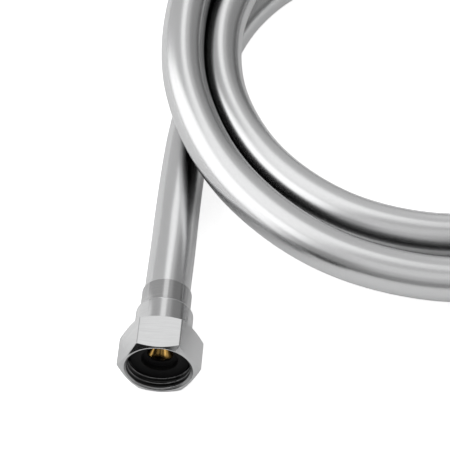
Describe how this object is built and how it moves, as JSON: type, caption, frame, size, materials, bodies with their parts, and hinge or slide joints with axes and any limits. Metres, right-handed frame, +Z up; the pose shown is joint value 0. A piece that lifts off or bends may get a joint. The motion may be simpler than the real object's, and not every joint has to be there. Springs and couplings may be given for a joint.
{
  "type": "shower hose",
  "caption": "Smooth satin silver shower hose lying in a loose coil, with a hexagon swivel nut at the mixer end and a tapered swivel nut at the handset end.",
  "frame": {"origin": "on the floor under the middle of the box round the coil and its fittings", "axes": "+Z up from the floor, +Y along the coil's longer side, away from the mixer nut's mouth, +X towards the handset end"},
  "size_m": [0.2364, 0.2446, 0.0374],
  "materials": {
    "hose_silver": "satin metallic silver under clear vinyl",
    "nut_chrome": "fine brushed chrome",
    "nipple_brass": "turned brass",
    "ferrule_steel": "brushed stainless steel",
    "washer_rubber": "matt black rubber"
  },
  "bodies": {
    "root": {"hose": "hose_silver", "mixer_nipple": "nipple_brass", "mixer_ferrule": "ferrule_steel", "mixer_washer": "washer_rubber", "handset_nipple": "nipple_brass", "handset_ferrule": "ferrule_steel", "handset_washer": "washer_rubber"},
    "mixer_nut": {"mixer_nut": "nut_chrome"},
    "handset_nut": {"handset_nut": "nut_chrome"}
  },
  "joints": [
    {"name": "mixer_swivel", "type": "hinge", "parent": "root", "child": "mixer_nut", "pos_m": [-0.10569, -0.12151, 0.01095], "axis": [0.0715, 0.9974, 0], "continuous": true},
    {"name": "handset_swivel", "type": "hinge", "parent": "root", "child": "handset_nut", "pos_m": [0.10626, -0.01016, 0.012], "axis": [-0.0262, 0.9997, 0], "continuous": true}
  ]
}
